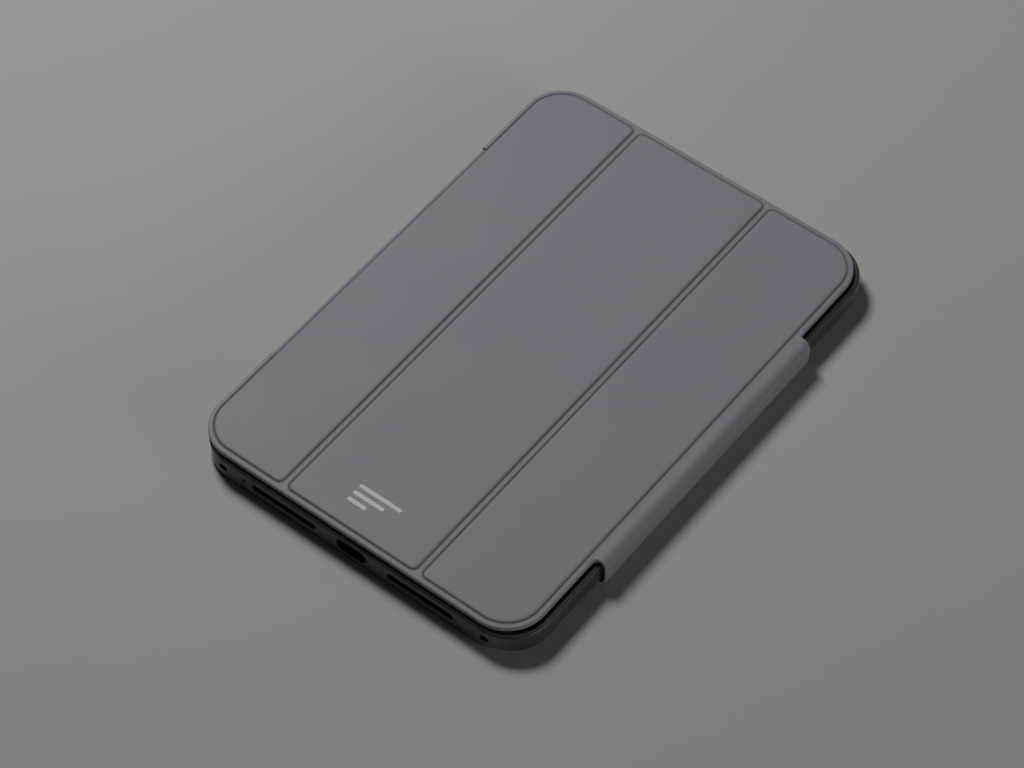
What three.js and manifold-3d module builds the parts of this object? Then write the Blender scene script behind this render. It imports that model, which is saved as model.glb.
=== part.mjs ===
// A folio case for an 8.3-inch class tablet: a moulded tub with buttons, and a three-panel cover that
// wraps one long side on a spine and closes over the other with a magnetic flap.
// Millimetres. X runs from the closure flap (-X) to the spine (+X), Y from the charging port (-Y)
// to the buttons (+Y), and Z up from the face that the closed case lies on.
import * as THREE from "three";
import { mergeVertices } from "three/addons/utils/BufferGeometryUtils.js";
import Module from "manifold-3d";

const wasm = await Module();
wasm.setup();

// ---- Driving dimensions ----

const tablet = { width: 134.8, length: 195.4, thickness: 6.3, cornerRadius: 12.5, slack: 0.1 };
const tub = {
  sideWall: 1.3,
  endWall: 2.55,
  cornerRadius: 15.5,
  footRound: 2.2,
  rimRound: 0.5,
  lipHeight: 0.85,
  lipOverhang: 0.8,
};
const shell = { thickness: 1.6, inset: 3.0 };
const padThickness = 0.35;
const cover = {
  leftOverhang: 0.2,
  endSetback: 1.1,
  rimGap: 0.3,
  cornerRadius: 15,
  leftFlange: 1.6,
  rightFlange: 2.4,
  rightSetback: 1.4,
  endFlange: 2.45,
  foldWidth: 2.9,
  firstPanelWidth: 35.0,
  lastPanelWidth: 37.6,
  plateauRise: 0.4,
  innerRadius: 2,
  skinThickness: 0.6,
  boardThickness: 1.2,
  boardMargin: 0.8,
  boardGap: 0.2,
  liningThickness: 0.5,
  liningInset: 0.8,
};
const spine = {
  wallGap: 0.4,
  endSetback: 42.95,
  topRadius: 3.0,
  topTurn: 83,
  bottomRadius: 2.3,
  skinThickness: 0.6,
  foldThickness: 1.1,
  bandHeight: 0.6,
  boardThickness: 0.5,
  boardInset: 1.5,
  liningThickness: 0.45,
  liningInset: 0.5,
};
const anchor = { width: 22, skinThickness: 0.5, plateThickness: 0.35, plateMargin: 1.5 };
const flap = {
  reach: 7.0,
  proud: 0.8,
  radius: 2.2,
  turnLeft: 0.8,
  bandHeight: 0.5,
  skinThickness: 0.4,
  rollThickness: 0.6,
  magnetThickness: 0.4,
  magnetHeight: 3.6,
  liningThickness: 0.2,
};
const magnet = { width: 5, length: 20, thickness: 0.9, edgeDistance: 4.5 };
const keeper = { width: 8, thickness: 0.4, edgeDistance: 5 };
const port = { width: 12.6, height: 5.4 };
const speaker = { width: 27, height: 2.6, centre: 28.5 };
const endHole = { width: 3.6, height: 2.2, cornerDistance: 14.3 };
const farSpeaker = { width: 12, centre: 17 };
const microphone = { diameter: 1.4, x: -45.6 };
const button = { height: 3.2, sunk: 0.1, innerGap: 0.3, sideGap: 0.3 };
const powerButton = { width: 13, cornerDistance: 18.8 };
const volumeButton = { width: 10, cornerDistance: 18.8, spacing: 11.5 };
const camera = { sideDistance: 16.3, endDistance: 18.9, ringOuter: 9.7, ringInner: 7.0 };
const socket = { outer: 17, bore: 14, recess: 0.9, plateThickness: 0.55 };

// Clearances between pieces.
const glueLine = 0.05;
const moulded = 0.1;
const hingeGap = 0.3;
const endGap = 0.5;
const flapSeatGap = 0.2;
const cutMargin = 5;
const arcSegments = 8;
const holeSegments = 24;
const discSegments = 32;

// ---- Sizes that follow ----

const halfWidth = tablet.width / 2 + tablet.slack + tub.sideWall;
const halfLength = tablet.length / 2 + tablet.slack + tub.endWall;
const pocketHalfWidth = halfWidth - tub.sideWall;
const pocketHalfLength = halfLength - tub.endWall;
const pocketRadius = tablet.cornerRadius + tablet.slack;

const padBottom = shell.thickness + glueLine;
const padTop = padBottom + padThickness;
const tabletMiddle = padTop + glueLine + tablet.thickness / 2;
const lipBottom = padTop + glueLine + tablet.thickness + tablet.slack;
const rimTop = lipBottom + tub.lipHeight;

const coverBottom = rimTop + cover.rimGap;
const skinBottom = coverBottom + cover.liningThickness + glueLine;
const boardTop = skinBottom + cover.boardThickness;
const plateauTop = boardTop + glueLine + cover.skinThickness;
const flangeTop = plateauTop - cover.plateauRise;

const coverLeft = -halfWidth - cover.leftOverhang;
const spineThickness = spine.skinThickness + spine.boardThickness + spine.liningThickness + 2 * glueLine;
const spineOuter = halfWidth + spine.wallGap + spineThickness;
const spineFoldX = spineOuter - spine.topRadius;
const coverRight = spineFoldX - cover.rightSetback;
const coverHalfLength = halfLength - cover.endSetback;
const plateauHalfLength = coverHalfLength - cover.endFlange;
const spineHalfLength = halfLength - spine.endSetback;

const firstPlateau = {
  left: coverLeft + cover.leftFlange,
  right: coverLeft + cover.leftFlange + cover.firstPanelWidth,
};
const lastPlateau = {
  left: coverRight - cover.rightFlange - cover.lastPanelWidth,
  right: coverRight - cover.rightFlange,
};
const middlePlateau = {
  left: firstPlateau.right + cover.foldWidth,
  right: lastPlateau.left - cover.foldWidth,
};
const leftFoldX = (firstPlateau.right + middlePlateau.left) / 2;
const rightFoldX = (middlePlateau.right + lastPlateau.left) / 2;
const plateauOuterRadius = cover.cornerRadius - cover.endFlange;

const flapOuter = -halfWidth - flap.proud;
const flapFoldX = flapOuter + flap.radius - flap.turnLeft;
const flapDepth = flap.skinThickness + flap.magnetThickness + flap.liningThickness + 2 * glueLine;
const flapBottom = flangeTop - flap.reach;

// ---- Materials ----

const material = (color, roughness, metalness = 0) =>
  new THREE.MeshStandardMaterial({ color, roughness, metalness });
const softTouch = material(0x5b5f66, 0.62);
const elastomer = material(0x121314, 0.42);
const hardPlastic = material(0x1b1c1e, 0.5);
const microfibre = material(0x3a3c40, 0.95);
const board = material(0x8d8a80, 0.8);
const steel = material(0xb4b6b8, 0.35, 1);
const nickel = material(0xc4c2bb, 0.28, 1);

// ---- Shapes and solids ----

// A rectangle with one radius for each corner, given as [near left, near right, far right, far left].
function roundedRectangle(x0, x1, y0, y1, radii) {
  const [nearLeft, nearRight, farRight, farLeft] = Array.isArray(radii) ? radii : Array(4).fill(radii);
  const shape = new THREE.Shape();
  shape.moveTo(x0 + nearLeft, y0);
  shape.lineTo(x1 - nearRight, y0);
  if (nearRight) shape.absarc(x1 - nearRight, y0 + nearRight, nearRight, -Math.PI / 2, 0);
  shape.lineTo(x1, y1 - farRight);
  if (farRight) shape.absarc(x1 - farRight, y1 - farRight, farRight, 0, Math.PI / 2);
  shape.lineTo(x0 + farLeft, y1);
  if (farLeft) shape.absarc(x0 + farLeft, y1 - farLeft, farLeft, Math.PI / 2, Math.PI);
  shape.lineTo(x0, y0 + nearLeft);
  if (nearLeft) shape.absarc(x0 + nearLeft, y0 + nearLeft, nearLeft, Math.PI, Math.PI * 1.5);
  return shape;
}

const centredRectangle = (halfX, halfY, radius) => roundedRectangle(-halfX, halfX, -halfY, halfY, radius);

// The ends are a hair short of full half rounds, so that the outline keeps a short straight end.
function slotShape(x, z, width, height) {
  const endRadius = height / 2 - 0.01;
  return roundedRectangle(x - width / 2, x + width / 2, z - height / 2, z + height / 2, endRadius);
}

function circleShape(x, y, radius) {
  const shape = new THREE.Shape();
  shape.absarc(x, y, radius, 0, Math.PI * 2);
  return shape;
}

// Turns a closed geometry into a solid that can be cut and joined.
function solidOf(geometry) {
  const bare = geometry.clone();
  bare.deleteAttribute("normal");
  bare.deleteAttribute("uv");
  const merged = mergeVertices(bare, 1e-4);
  return new wasm.Manifold(
    new wasm.Mesh({
      numProp: 3,
      vertProperties: merged.attributes.position.array,
      triVerts: new Uint32Array(merged.index.array),
    }),
  );
}

// A shape drawn in X and Y, standing from z0 to z1. A round bevels both of its rims.
function slab(shape, z0, z1, round = 0, curveSegments = arcSegments) {
  const geometry = new THREE.ExtrudeGeometry(shape, {
    depth: z1 - z0 - 2 * round,
    curveSegments,
    bevelEnabled: round > 0,
    bevelThickness: round,
    bevelSize: round,
    bevelOffset: -round,
    bevelSegments: 3,
  });
  geometry.translate(0, 0, z0 + round);
  return solidOf(geometry);
}

// A shape drawn in X and Z, running along Y from y0 to y1.
function runAlongY(shape, y0, y1, curveSegments = arcSegments) {
  const geometry = new THREE.ExtrudeGeometry(shape, { depth: y1 - y0, curveSegments, bevelEnabled: false });
  geometry.rotateX(Math.PI / 2);
  geometry.translate(0, y1, 0);
  return solidOf(geometry);
}

function block(x0, x1, y0, y1, z0, z1) {
  const geometry = new THREE.BoxGeometry(x1 - x0, y1 - y0, z1 - z0);
  geometry.translate((x0 + x1) / 2, (y0 + y1) / 2, (z0 + z1) / 2);
  return solidOf(geometry);
}

const cut = (body, ...tools) => tools.reduce((result, tool) => result.subtract(tool), body);

const folio = new THREE.Group();

function addPiece(group, name, solid, finish) {
  const { vertProperties, triVerts } = solid.getMesh();
  const geometry = new THREE.BufferGeometry();
  geometry.setAttribute("position", new THREE.BufferAttribute(vertProperties, 3));
  geometry.setIndex(new THREE.BufferAttribute(triVerts, 1));
  geometry.computeVertexNormals();
  const mesh = new THREE.Mesh(geometry, finish);
  mesh.name = name;
  group.add(mesh);
}

function addGroup() {
  const group = new THREE.Group();
  folio.add(group);
  return group;
}

// ---- Tub: hard back, soft bumper, pad, camera ring and accessory socket ----

const cameraX = halfWidth - camera.sideDistance;
const cameraY = halfLength - camera.endDistance;
const anchorInnerX = halfWidth - anchor.width;
const anchorDepth = anchor.skinThickness + anchor.plateThickness + 3 * glueLine;

const anchorRecess = () =>
  block(
    anchorInnerX - moulded, halfWidth + cutMargin,
    -spineHalfLength - endGap, spineHalfLength + endGap, -cutMargin, anchorDepth);

function makeBackShell() {
  const outline = centredRectangle(
    halfWidth - shell.inset, halfLength - shell.inset, tub.cornerRadius - shell.inset);
  return cut(
    slab(outline, 0, shell.thickness),
    slab(circleShape(cameraX, cameraY, camera.ringOuter + moulded), -cutMargin, cutMargin, 0, holeSegments),
    slab(circleShape(0, 0, socket.outer + moulded), -cutMargin, cutMargin, 0, discSegments),
    anchorRecess(),
  );
}

function buttonWindow(x, width) {
  const gap = button.sideGap;
  return runAlongY(
    slotShape(x, tabletMiddle, width + 2 * gap, button.height + 2 * gap),
    pocketHalfLength - cutMargin, halfLength + cutMargin);
}

const powerButtonX = halfWidth - powerButton.cornerDistance;
const volumeUpX = -halfWidth + volumeButton.cornerDistance;
const volumeDownX = volumeUpX + volumeButton.spacing;

function makeBumperFrame() {
  const outline = centredRectangle(halfWidth, halfLength, tub.cornerRadius);
  const tall = 2 * rimTop;
  const outside = slab(outline, 0, tall, tub.footRound).intersect(
    slab(outline, -tall, rimTop, tub.rimRound));
  const pocket = slab(
    centredRectangle(pocketHalfWidth, pocketHalfLength, pocketRadius), shell.thickness, lipBottom);
  const mouth = slab(
    centredRectangle(
      pocketHalfWidth - tub.lipOverhang, pocketHalfLength - tub.lipOverhang, pocketRadius - tub.lipOverhang),
    lipBottom - glueLine, rimTop + cutMargin);
  const shellSeat = slab(
    centredRectangle(
      halfWidth - shell.inset + moulded,
      halfLength - shell.inset + moulded,
      tub.cornerRadius - shell.inset + moulded),
    -cutMargin, shell.thickness + glueLine);
  const nearWall = (shape) => runAlongY(shape, -halfLength - cutMargin, -pocketHalfLength + cutMargin);
  const farWall = (shape) => runAlongY(shape, pocketHalfLength - cutMargin, halfLength + cutMargin);
  const openings = [nearWall(slotShape(0, tabletMiddle, port.width, port.height))];
  for (const side of [-1, 1]) {
    openings.push(
      nearWall(slotShape(side * speaker.centre, tabletMiddle, speaker.width, speaker.height)),
      nearWall(
        slotShape(side * (halfWidth - endHole.cornerDistance), tabletMiddle, endHole.width, endHole.height)),
      farWall(slotShape(side * farSpeaker.centre, tabletMiddle, farSpeaker.width, speaker.height)),
    );
  }
  openings.push(nearWall(circleShape(microphone.x, tabletMiddle, microphone.diameter / 2)));
  openings.push(
    buttonWindow(powerButtonX, powerButton.width),
    buttonWindow(volumeUpX, volumeButton.width),
    buttonWindow(volumeDownX, volumeButton.width),
  );
  const flapSeat = block(
    -halfWidth - cutMargin, flapOuter + flapDepth + flapSeatGap,
    -spineHalfLength - endGap, spineHalfLength + endGap,
    flapBottom - endGap, rimTop + cutMargin);
  return cut(outside, pocket, mouth, shellSeat, ...openings, flapSeat, anchorRecess());
}

const tubGroup = addGroup();
addPiece(tubGroup, "back_shell", makeBackShell(), hardPlastic);
addPiece(tubGroup, "bumper_frame", makeBumperFrame(), elastomer);

const padInset = 0.3;
addPiece(
  tubGroup,
  "pocket_lining",
  cut(
    slab(
      centredRectangle(pocketHalfWidth - padInset, pocketHalfLength - padInset, pocketRadius - padInset),
      padBottom, padTop),
    slab(circleShape(cameraX, cameraY, camera.ringInner + endGap), 0, cutMargin, 0, holeSegments),
  ),
  microfibre,
);

const insertTop = shell.thickness - glueLine;
addPiece(
  tubGroup,
  "camera_ring",
  cut(
    slab(circleShape(cameraX, cameraY, camera.ringOuter), moulded, insertTop, 0, holeSegments),
    slab(circleShape(cameraX, cameraY, camera.ringInner), -cutMargin, cutMargin, 0, holeSegments),
  ),
  hardPlastic,
);

addPiece(
  tubGroup,
  "mount_ring",
  cut(
    slab(circleShape(0, 0, socket.outer), moulded, insertTop, 0, discSegments),
    slab(circleShape(0, 0, socket.bore), -cutMargin, cutMargin, 0, discSegments),
  ),
  hardPlastic,
);
addPiece(
  tubGroup,
  "mount_plate",
  slab(
    circleShape(0, 0, socket.bore - moulded),
    socket.recess, socket.recess + socket.plateThickness, 0, discSegments),
  steel,
);

// ---- Buttons in the far wall ----

function addButton(name, x, width) {
  const shape = slotShape(x, tabletMiddle, width, button.height);
  addPiece(
    addGroup(), name,
    runAlongY(shape, pocketHalfLength + button.innerGap, halfLength - button.sunk), elastomer);
}

addButton("power_button", powerButtonX, powerButton.width);
addButton("volume_up_button", volumeUpX, volumeButton.width);
addButton("volume_down_button", volumeDownX, volumeButton.width);

// ---- Anchor: the end of the cover's skin, bonded into the back, and its turn up to the spine ----

const bottomTurn = { x: spineOuter - spine.bottomRadius, z: glueLine + spine.bottomRadius };
const anchorSkinTop = glueLine + anchor.skinThickness;

function anchorProfile() {
  const inner = spine.bottomRadius - spine.foldThickness;
  const shape = new THREE.Shape();
  shape.moveTo(anchorInnerX, glueLine);
  shape.lineTo(bottomTurn.x, glueLine);
  shape.absarc(bottomTurn.x, bottomTurn.z, spine.bottomRadius, -Math.PI / 2, 0);
  shape.lineTo(bottomTurn.x + inner, bottomTurn.z);
  shape.absarc(bottomTurn.x, bottomTurn.z, inner, 0, -Math.PI / 2, true);
  shape.lineTo(bottomTurn.x - spine.foldThickness / 2, anchorSkinTop);
  shape.lineTo(anchorInnerX, anchorSkinTop);
  return shape;
}

addPiece(
  tubGroup, "spine_anchor_skin",
  runAlongY(anchorProfile(), -spineHalfLength, spineHalfLength, 6), softTouch);
addPiece(
  tubGroup,
  "spine_anchor_plate",
  slab(
    roundedRectangle(
      anchorInnerX + anchor.plateMargin, halfWidth - tub.footRound - anchor.plateMargin,
      -spineHalfLength + anchor.plateMargin, spineHalfLength - anchor.plateMargin, 2),
    anchorSkinTop + glueLine, anchorSkinTop + glueLine + anchor.plateThickness, 0, 3),
  board,
);

// ---- Spine ----

const topTurnZ = flangeTop - spine.topRadius;
const spineBottom = bottomTurn.z + hingeGap;
const spineSkinInner = spineOuter - spine.skinThickness;
const spineBandTop = spineBottom + spine.bandHeight;
const spineLayerBottom = spineBandTop + glueLine;
const spineLayerTop = topTurnZ - glueLine;

function spineProfile() {
  const inner = spine.topRadius - spine.foldThickness;
  const start = THREE.MathUtils.degToRad(spine.topTurn);
  const shape = new THREE.Shape();
  shape.moveTo(spineOuter, spineBottom);
  shape.lineTo(spineOuter, topTurnZ);
  shape.absarc(spineFoldX, topTurnZ, spine.topRadius, 0, start);
  shape.absarc(spineFoldX, topTurnZ, inner, start, 0, true);
  shape.lineTo(spineSkinInner, topTurnZ);
  shape.lineTo(spineSkinInner, spineBandTop);
  shape.lineTo(spineOuter - spine.foldThickness, spineBandTop);
  shape.lineTo(spineOuter - spine.foldThickness, spineBottom);
  return shape;
}

const spineGroup = addGroup();
const spineBoardOuter = spineSkinInner - glueLine;
const spineLiningOuter = spineBoardOuter - spine.boardThickness - glueLine;
addPiece(
  spineGroup, "spine_skin",
  runAlongY(spineProfile(), -spineHalfLength, spineHalfLength), softTouch);
addPiece(
  spineGroup,
  "spine_board",
  block(
    spineBoardOuter - spine.boardThickness, spineBoardOuter,
    -spineHalfLength + spine.boardInset, spineHalfLength - spine.boardInset,
    spineLayerBottom, spineLayerTop),
  board,
);
addPiece(
  spineGroup,
  "spine_lining",
  block(
    spineLiningOuter - spine.liningThickness, spineLiningOuter,
    -spineHalfLength + spine.liningInset, spineHalfLength - spine.liningInset,
    spineLayerBottom, spineLayerTop),
  microfibre,
);

// ---- Cover panels ----

// The skin's turn over the free side, down to the split where the flap hangs.
const flapTurn = { x: flapOuter + flap.radius, z: flangeTop - flap.radius };

function flapRollProfile(panelEdge) {
  const innerX = panelEdge + moulded;
  const start = Math.acos((innerX - flapTurn.x) / flap.radius);
  const end = Math.PI - Math.asin(hingeGap / 2 / flap.radius);
  const shape = new THREE.Shape();
  shape.absarc(flapTurn.x, flapTurn.z, flap.radius, start, end);
  shape.lineTo(flapOuter + flap.rollThickness, flapTurn.z + hingeGap / 2);
  shape.lineTo(flapFoldX, flapTurn.z + flap.radius / 2);
  shape.lineTo(innerX, skinBottom);
  return shape;
}

// One panel: a skin with a raised plateau over a stiff board, and a lining under both.
function addPanel(name, edges, plateau, radii, inserts) {
  const { left, right } = edges;
  const outer = radii.map((outside) => (outside ? cover.cornerRadius : 0));
  const plateauRadii = radii.map((outside) => (outside ? plateauOuterRadius : cover.innerRadius));
  const shrink = (amount) =>
    roundedRectangle(
      plateau.left + amount, plateau.right - amount,
      -plateauHalfLength + amount, plateauHalfLength - amount,
      plateauRadii.map((radius) => radius - amount));
  const flange = slab(
    roundedRectangle(left, right, -coverHalfLength, coverHalfLength, outer), skinBottom, flangeTop);
  const raised = slab(shrink(0), flangeTop - cover.plateauRise, plateauTop);
  let skin = flange.add(raised).subtract(slab(shrink(cover.boardMargin), coverBottom, boardTop + glueLine));
  const leftInset = outer[0] ? cover.liningInset : 0;
  const rightInset = outer[1] ? cover.liningInset : 0;
  let lining = slab(
    roundedRectangle(
      left + leftInset, right - rightInset,
      -coverHalfLength + cover.liningInset, coverHalfLength - cover.liningInset,
      outer.map((radius) => Math.max(radius - cover.liningInset, 0))),
    coverBottom, coverBottom + cover.liningThickness);
  if (edges.tab) {
    skin = skin.add(
      block(plateau.right, edges.tab, -spineHalfLength, spineHalfLength, skinBottom, flangeTop));
  }
  if (edges.flapSide) {
    const notch = block(
      left - cutMargin, edges.flapSide,
      -spineHalfLength - hingeGap, spineHalfLength + hingeGap, 0, plateauTop + cutMargin);
    skin = skin.subtract(notch).add(
      runAlongY(flapRollProfile(edges.flapSide), -spineHalfLength, spineHalfLength, 6));
    lining = lining.subtract(notch);
  }
  let stiffener = slab(shrink(cover.boardMargin + cover.boardGap), skinBottom + glueLine, boardTop);
  const group = addGroup();
  for (const { part, x, y, halfX, halfY, thickness, finish } of inserts) {
    const bottom = skinBottom + 2 * glueLine;
    stiffener = stiffener.subtract(
      block(
        x - halfX - moulded, x + halfX + moulded, y - halfY - moulded, y + halfY + moulded,
        coverBottom, bottom + thickness + glueLine));
    addPiece(
      group, name + part,
      block(x - halfX, x + halfX, y - halfY, y + halfY, bottom, bottom + thickness), finish);
  }
  addPiece(group, name + "_skin", skin, softTouch);
  addPiece(group, name + "_board", stiffener, board);
  addPiece(group, name + "_lining", lining, microfibre);
}

const magnetX = firstPlateau.left + magnet.edgeDistance + magnet.width / 2;
const magnetReach = plateauHalfLength - cover.cornerRadius - magnet.length / 2;
const panelMagnet = (part, y) => ({
  part: "_magnet_" + part,
  x: magnetX,
  y,
  halfX: magnet.width / 2,
  halfY: magnet.length / 2,
  thickness: magnet.thickness,
  finish: nickel,
});
const keeperStrip = {
  part: "_keeper_strip",
  x: lastPlateau.right - keeper.edgeDistance - keeper.width / 2,
  y: 0,
  halfX: keeper.width / 2,
  halfY: magnetReach + magnet.length / 2,
  thickness: keeper.thickness,
  finish: steel,
};

addPanel(
  "panel_3",
  { left: rightFoldX + hingeGap / 2, right: coverRight, tab: spineFoldX },
  lastPlateau,
  [false, true, true, false],
  [keeperStrip],
);
addPanel(
  "panel_2",
  { left: leftFoldX + hingeGap / 2, right: rightFoldX - hingeGap / 2 },
  middlePlateau,
  [false, false, false, false],
  [],
);
addPanel(
  "panel_1",
  { left: coverLeft, right: leftFoldX - hingeGap / 2, flapSide: flapFoldX + hingeGap },
  firstPlateau,
  [true, false, false, true],
  [panelMagnet("near", -magnetReach), panelMagnet("middle", 0), panelMagnet("far", magnetReach)],
);

// ---- Closure flap ----

function flapProfile() {
  const innerX = flapOuter + flap.skinThickness;
  const bandX = flapOuter + flapDepth;
  const top = flapTurn.z - hingeGap / 2;
  const shape = new THREE.Shape();
  shape.moveTo(flapOuter, top);
  shape.lineTo(flapOuter, flapBottom);
  shape.lineTo(bandX, flapBottom);
  shape.lineTo(bandX, flapBottom + flap.bandHeight);
  shape.lineTo(innerX, flapBottom + flap.bandHeight);
  shape.lineTo(innerX, top);
  return shape;
}

const flapGroup = addGroup();
const flapMagnetOuter = flapOuter + flap.skinThickness + glueLine;
const flapLiningOuter = flapMagnetOuter + flap.magnetThickness + glueLine;
const flapLayerBottom = flapBottom + flap.bandHeight + glueLine;
addPiece(
  flapGroup, "flap_skin",
  runAlongY(flapProfile(), -spineHalfLength, spineHalfLength, 6), softTouch);
addPiece(
  flapGroup,
  "flap_magnet_bar",
  block(
    flapMagnetOuter, flapMagnetOuter + flap.magnetThickness,
    -spineHalfLength + spine.boardInset, spineHalfLength - spine.boardInset,
    flapLayerBottom, flapLayerBottom + flap.magnetHeight),
  nickel,
);
addPiece(
  flapGroup,
  "flap_lining",
  block(
    flapLiningOuter, flapLiningOuter + flap.liningThickness,
    -spineHalfLength + spine.liningInset, spineHalfLength - spine.liningInset,
    flapLayerBottom, flapLayerBottom + flap.magnetHeight),
  microfibre,
);

// The frame's origin is the middle of the whole case's footprint, on the face that it lies on.
folio.position.x = -(spineOuter + flapOuter) / 2;

export default folio;
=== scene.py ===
import math
from math import cos, pi, radians, sin

import bmesh
import bpy
import numpy as np
from mathutils import Matrix, Vector


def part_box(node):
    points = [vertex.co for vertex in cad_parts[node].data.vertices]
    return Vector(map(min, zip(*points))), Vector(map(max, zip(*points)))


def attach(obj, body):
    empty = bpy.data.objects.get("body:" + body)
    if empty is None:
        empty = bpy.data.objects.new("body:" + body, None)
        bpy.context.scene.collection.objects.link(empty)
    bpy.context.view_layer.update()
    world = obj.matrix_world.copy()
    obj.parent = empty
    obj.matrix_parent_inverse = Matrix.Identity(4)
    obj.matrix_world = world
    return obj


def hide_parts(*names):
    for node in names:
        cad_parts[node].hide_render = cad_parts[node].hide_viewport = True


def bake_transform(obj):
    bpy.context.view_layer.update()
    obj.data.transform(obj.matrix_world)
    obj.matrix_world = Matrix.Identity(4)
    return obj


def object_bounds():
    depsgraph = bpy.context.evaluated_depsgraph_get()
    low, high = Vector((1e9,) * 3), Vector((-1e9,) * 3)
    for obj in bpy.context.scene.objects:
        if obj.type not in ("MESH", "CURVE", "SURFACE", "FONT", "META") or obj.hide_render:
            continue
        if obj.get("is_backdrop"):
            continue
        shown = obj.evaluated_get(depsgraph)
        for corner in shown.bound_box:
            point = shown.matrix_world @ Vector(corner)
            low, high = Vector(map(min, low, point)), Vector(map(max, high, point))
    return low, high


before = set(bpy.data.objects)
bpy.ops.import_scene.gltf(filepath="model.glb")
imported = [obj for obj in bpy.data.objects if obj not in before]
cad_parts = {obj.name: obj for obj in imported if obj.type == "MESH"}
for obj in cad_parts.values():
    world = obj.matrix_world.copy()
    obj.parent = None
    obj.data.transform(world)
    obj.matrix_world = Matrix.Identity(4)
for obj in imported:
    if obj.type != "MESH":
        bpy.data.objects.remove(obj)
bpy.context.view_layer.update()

mm = 0.001
beyond = 5  # how far a cutter reaches past what it cuts
cornerSlack = 0.01  # keeps the ends of a fully rounded bar a little open
scene = bpy.context.scene
print("frame loaded")


# Everything below is worked out in millimetres and made in metres.
def boxOf(node):
    low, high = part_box(node)
    return low / mm, high / mm


tubLow, tubHigh = boxOf("bumper_frame")
tubX = (tubLow.x + tubHigh.x) / 2
tubHalf = Vector(((tubHigh.x - tubLow.x) / 2, (tubHigh.y - tubLow.y) / 2))
skin1, skin2, skin3 = (boxOf(f"panel_{n}_skin") for n in (1, 2, 3))
boards = [boxOf(f"panel_{n}_board") for n in (1, 2, 3)]
liningLow, liningHigh = boxOf("panel_3_lining")
spineBox, anchorBox, flapBox = boxOf("spine_skin"), boxOf("spine_anchor_skin"), boxOf("flap_skin")


# A value in a shader, which the usual signs of arithmetic work on.
class Signal:
    def __init__(self, finish, socket):
        self.finish, self.socket = finish, socket

    def maths(self, operation, first, second):
        return self.finish.node("ShaderNodeMath", {"operation": operation}, {0: first, 1: second})

    def __add__(self, other):
        return self.maths("ADD", self, other)

    def __sub__(self, other):
        return self.maths("SUBTRACT", self, other)

    def __mul__(self, other):
        return self.maths("MULTIPLY", self, other)

    def __rsub__(self, other):
        return self.maths("SUBTRACT", other, self)

    __radd__ = __add__
    __rmul__ = __mul__


class Finish:
    def __init__(self, name, specular=0.5, haze=0.0, hazeSpread=0.5, metal=0.0):
        self.material = bpy.data.materials.new(name)
        self.material.use_nodes = True
        self.tree = self.material.node_tree
        self.tree.nodes.clear()
        self.surface = {
            "Specular IOR Level": specular, "Sheen Weight": haze, "Sheen Roughness": hazeSpread,
            "Metallic": metal}

    # One maker for every node: its type, its settings, then the values or links of its sockets.
    def node(self, kind, settings=None, inputs=None, output=0):
        made = self.tree.nodes.new(kind)
        for key, value in (settings or {}).items():
            if key == "stops":  # places and grey levels of a ramp
                for element, (place, level) in zip(made.color_ramp.elements, value):
                    element.position = place
                    element.color = (level, level, level, 1)
            else:
                setattr(made, key, value)
        for key, value in (inputs or {}).items():
            if isinstance(value, Signal):
                self.tree.links.new(value.socket, made.inputs[key])
            else:
                made.inputs[key].default_value = value
        return Signal(self, made.outputs[output]) if made.outputs else made

    def place(self):
        return self.node("ShaderNodeTexCoord", output="Object")

    def noise(self, scale, detail=2.0, roughness=0.5, stretch=(1, 1, 1)):
        spot = self.node("ShaderNodeMapping", {}, {"Vector": self.place(), "Scale": stretch})
        return self.node("ShaderNodeTexNoise", {}, {
            "Vector": spot, "Scale": scale, "Detail": detail, "Roughness": roughness})

    def cells(self, scale):
        inputs = {"Vector": self.place(), "Scale": scale}
        return self.node("ShaderNodeTexVoronoi", {"feature": "SMOOTH_F1"}, inputs)

    # From 0 where the signal is at its first level up to 1 at its second.
    def ramp(self, signal, low, high):
        return self.node("ShaderNodeValToRGB", {"stops": [(low, 0), (high, 1)]}, {"Fac": signal})

    def blendColours(self, share, first, second):
        return self.node("ShaderNodeMix", {"data_type": "RGBA"}, {0: share, 6: first, 7: second}, output=2)

    def bump(self, height, strength, distance, under=None):
        inputs = {"Height": height, "Strength": strength, "Distance": distance}
        if under is not None:
            inputs["Normal"] = under
        return self.node("ShaderNodeBump", {}, inputs)

    def done(self, base, roughness, normal):
        varying = {"Base Color": base, "Roughness": roughness, "Normal": normal}
        shader = self.node("ShaderNodeBsdfPrincipled", {}, {**self.surface, **varying})
        self.node("ShaderNodeOutputMaterial", {}, {"Surface": shader})
        return self.material


# A colour as it looks on a screen, from 0 to 255, turned into the renderer's linear values.
def shade(red, green, blue):
    return tuple(((c / 255 + 0.055) / 1.055) ** 2.4 for c in (red, green, blue)) + (1,)


def darker(colour, share):
    return tuple(c * share for c in colour[:3]) + (1,)


softTouchLook = {
    "colour": shade(122, 127, 135),
    "coolPatch": shade(120, 125, 133),
    "warmPatch": shade(123, 127, 134),
    # How strongly shade is painted into the grooves, and how dark that painted shade is.
    "paintedShadeWeight": 0.9,
    "paintedShadeLevel": 0.3,
    "patchScale": 16,
    "rubScale": 38,
    "rubPolish": -0.03,
    "grain": 2600,
    "grainDepth": 0.00003,
    "poreShare": 0.45,
    "poreDepth": 0.00004,
    "roughness": 0.56,
}


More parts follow.
